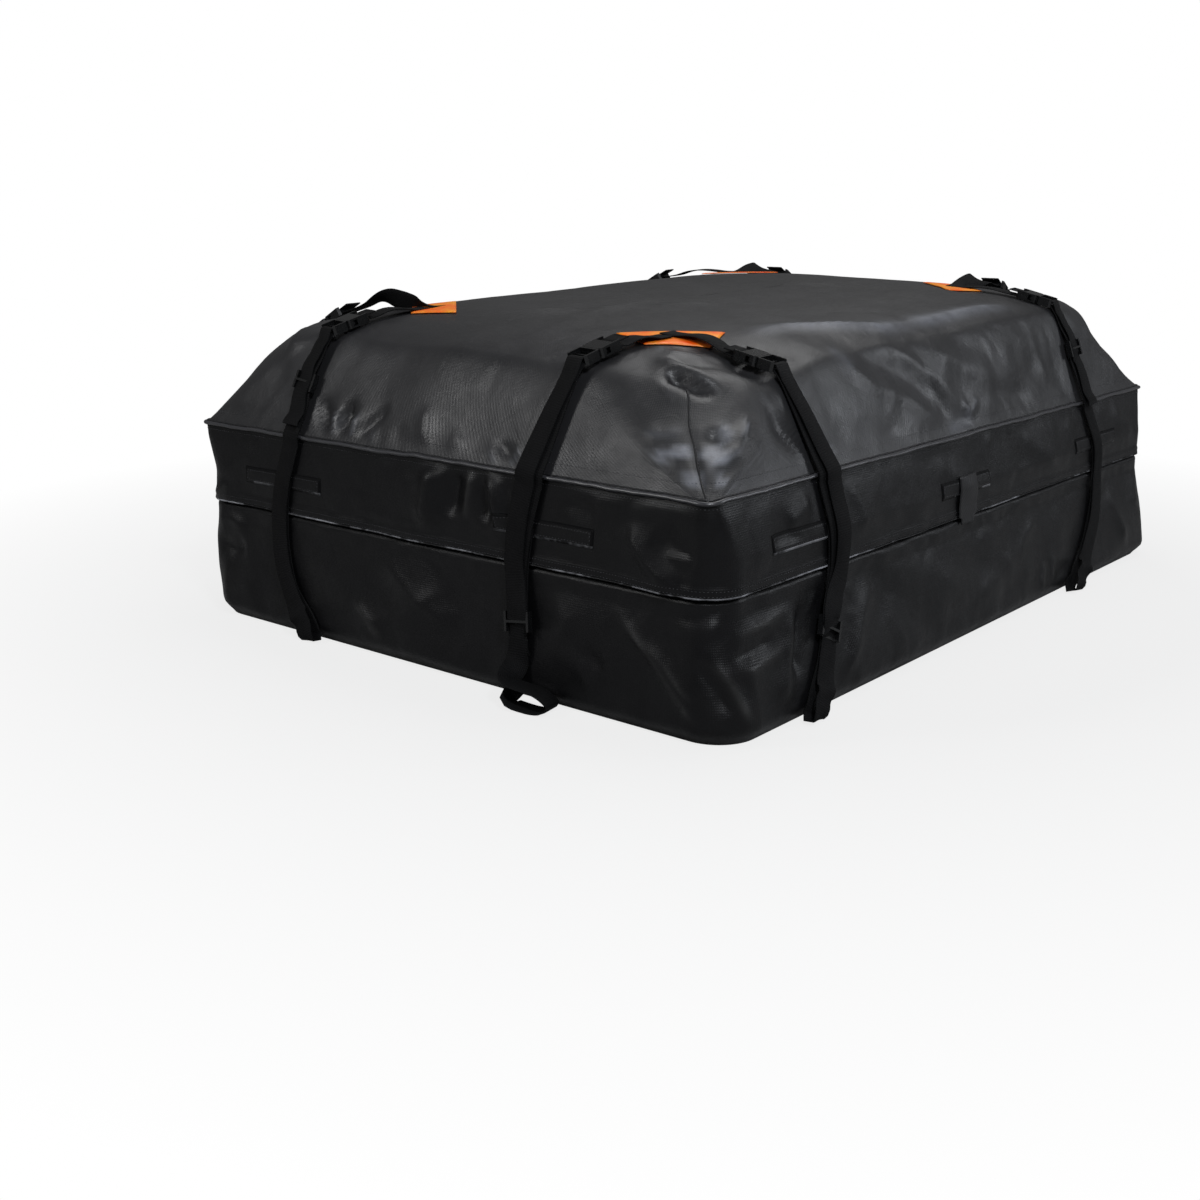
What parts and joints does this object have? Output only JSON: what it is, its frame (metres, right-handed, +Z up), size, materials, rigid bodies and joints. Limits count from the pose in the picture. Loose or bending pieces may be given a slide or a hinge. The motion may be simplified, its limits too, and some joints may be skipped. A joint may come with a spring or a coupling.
{
  "type": "roof cargo bag",
  "caption": "Soft rooftop cargo bag: boxy tarpaulin body with a zipped lid under a storm flap, doubled webbing straps with side-release buckles and corner patches.",
  "frame": {"origin": "middle of the underside, on the plane of the roof that the bag lies on", "axes": "+Z up, +X along the long side towards the right end, +Y along the short side towards the back, where the lid is hinged"},
  "size_m": [1.286, 0.9412, 0.4401],
  "materials": {
    "tarpaulin": "coated, semi-gloss",
    "top_tarpaulin": "coated, semi-gloss",
    "piping_cord": "woven binding",
    "webbing": "woven, matt",
    "moulded_plastic": "moulded, semi-matt",
    "orange_cloth": "reflective, printed",
    "zip_tape_cloth": "woven",
    "zip_metal": "black lacquer"
  },
  "bodies": {
    "bag": {"base_panel": "tarpaulin", "lower_wall": "tarpaulin", "lid_band": "tarpaulin", "lid_top": "top_tarpaulin", "top_piping": "piping_cord", "zip_tape": "zip_tape_cloth", "zip_coil": "zip_tape_cloth", "corner_patch_left_front": "orange_cloth", "corner_patch_left_back": "orange_cloth", "corner_patch_right_front": "orange_cloth", "corner_patch_right_back": "orange_cloth", "closure_tab": "tarpaulin", "buckle_female_left_front": "moulded_plastic", "short_strap_left_front": "webbing", "long_strap_left_front": "webbing", "buckle_female_left_back": "moulded_plastic", "short_strap_left_back": "webbing", "long_strap_left_back": "webbing", "buckle_female_front_left": "moulded_plastic", "short_strap_front_left": "webbing", "long_strap_front_left": "webbing", "buckle_female_front_right": "moulded_plastic", "short_strap_front_right": "webbing", "long_strap_front_right": "webbing", "buckle_female_right_front": "moulded_plastic", "short_strap_right_front": "webbing", "long_strap_right_front": "webbing", "buckle_female_right_back": "moulded_plastic", "short_strap_right_back": "webbing", "long_strap_right_back": "webbing", "buckle_female_back_left": "moulded_plastic", "short_strap_back_left": "webbing", "long_strap_back_left": "webbing", "buckle_female_back_right": "moulded_plastic", "short_strap_back_right": "webbing", "long_strap_back_right": "webbing"},
    "male_half_left_front": {"buckle_male_left_front": "moulded_plastic"},
    "male_half_left_back": {"buckle_male_left_back": "moulded_plastic"},
    "male_half_front_left": {"buckle_male_front_left": "moulded_plastic"},
    "male_half_front_right": {"buckle_male_front_right": "moulded_plastic"},
    "male_half_right_front": {"buckle_male_right_front": "moulded_plastic"},
    "male_half_right_back": {"buckle_male_right_back": "moulded_plastic"},
    "male_half_back_left": {"buckle_male_back_left": "moulded_plastic"},
    "male_half_back_right": {"buckle_male_back_right": "moulded_plastic"},
    "slip_lock_left_front": {"slip_lock_left_front": "moulded_plastic"},
    "slip_lock_left_back": {"slip_lock_left_back": "moulded_plastic"},
    "slip_lock_front_left": {"slip_lock_front_left": "moulded_plastic"},
    "slip_lock_front_right": {"slip_lock_front_right": "moulded_plastic"},
    "slip_lock_right_front": {"slip_lock_right_front": "moulded_plastic"},
    "slip_lock_right_back": {"slip_lock_right_back": "moulded_plastic"},
    "slip_lock_back_left": {"slip_lock_back_left": "moulded_plastic"},
    "slip_lock_back_right": {"slip_lock_back_right": "moulded_plastic"},
    "slider_left": {"zip_slider_left": "zip_metal"},
    "pull_left": {"zip_pull_left": "zip_metal"},
    "slider_right": {"zip_slider_right": "zip_metal"},
    "pull_right": {"zip_pull_right": "zip_metal"}
  },
  "joints": [
    {"name": "buckle_release_left_front", "type": "slide", "parent": "bag", "child": "male_half_left_front", "axis": [-0.9189, 0.2358, -0.3162], "range_m": [0, 0.03], "deforming": ["long_strap_left_front"]},
    {"name": "buckle_release_left_back", "type": "slide", "parent": "bag", "child": "male_half_left_back", "axis": [-0.9176, 0.2539, -0.306], "range_m": [0, 0.03], "deforming": ["long_strap_left_back"]},
    {"name": "buckle_release_front_left", "type": "slide", "parent": "bag", "child": "male_half_front_left", "axis": [0.12, -0.9651, -0.2326], "range_m": [0, 0.03], "deforming": ["long_strap_front_left"]},
    {"name": "buckle_release_front_right", "type": "slide", "parent": "bag", "child": "male_half_front_right", "axis": [0.1517, -0.956, -0.2512], "range_m": [0, 0.03], "deforming": ["long_strap_front_right"]},
    {"name": "buckle_release_right_front", "type": "slide", "parent": "bag", "child": "male_half_right_front", "axis": [0.88, 0.0913, -0.4661], "range_m": [0, 0.03], "deforming": ["long_strap_right_front"]},
    {"name": "buckle_release_right_back", "type": "slide", "parent": "bag", "child": "male_half_right_back", "axis": [0.8944, 0.0884, -0.4385], "range_m": [0, 0.03], "deforming": ["long_strap_right_back"]},
    {"name": "buckle_release_back_left", "type": "slide", "parent": "bag", "child": "male_half_back_left", "axis": [-0.0991, 0.8422, -0.53], "range_m": [0, 0.03], "deforming": ["long_strap_back_left"]},
    {"name": "buckle_release_back_right", "type": "slide", "parent": "bag", "child": "male_half_back_right", "axis": [-0.1406, 0.8368, -0.5291], "range_m": [0, 0.03], "deforming": ["long_strap_back_right"]},
    {"name": "slip_lock_slide_left_front", "type": "slide", "parent": "bag", "child": "slip_lock_left_front", "axis": [0.1142, 0.1414, 0.9834], "range_m": [-0.025, 0.025]},
    {"name": "slip_lock_slide_left_back", "type": "slide", "parent": "bag", "child": "slip_lock_left_back", "axis": [0.3951, -0.1093, 0.9121], "range_m": [-0.008, 0.008]},
    {"name": "slip_lock_slide_front_left", "type": "slide", "parent": "bag", "child": "slip_lock_front_left", "axis": [0.4642, 0.197, 0.8636], "range_m": [-0.025, 0.025]},
    {"name": "slip_lock_slide_front_right", "type": "slide", "parent": "bag", "child": "slip_lock_front_right", "axis": [-0.0504, 0.3178, 0.9468], "range_m": [-0.008, 0.008]},
    {"name": "slip_lock_slide_right_front", "type": "slide", "parent": "bag", "child": "slip_lock_right_front", "axis": [0.0166, 0, 0.9999], "range_m": [-0.025, 0.025]},
    {"name": "slip_lock_slide_right_back", "type": "slide", "parent": "bag", "child": "slip_lock_right_back", "axis": [-0.3845, -0.038, 0.9223], "range_m": [-0.008, 0.008]},
    {"name": "slip_lock_slide_back_left", "type": "slide", "parent": "bag", "child": "slip_lock_back_left", "axis": [0.0568, -0.4826, 0.874], "range_m": [-0.008, 0.008]},
    {"name": "slip_lock_slide_back_right", "type": "slide", "parent": "bag", "child": "slip_lock_back_right", "axis": [0, 0.0538, 0.9986], "range_m": [-0.025, 0.025]},
    {"name": "zip_slide_left", "type": "slide", "parent": "bag", "child": "slider_left", "axis": [-1, 0, 0], "range_m": [0, 0.43]},
    {"name": "pull_swing_left", "type": "hinge", "parent": "slider_left", "child": "pull_left", "pos_m": [-0.043, -0.41705, 0.179], "axis": [0, -1, 0], "range_deg": [-30, 30]},
    {"name": "zip_slide_right", "type": "slide", "parent": "bag", "child": "slider_right", "axis": [1, 0, 0], "range_m": [0, 0.43]},
    {"name": "pull_swing_right", "type": "hinge", "parent": "slider_right", "child": "pull_right", "pos_m": [-0.021, -0.41705, 0.179], "axis": [0, -1, 0], "range_deg": [-30, 30]}
  ]
}
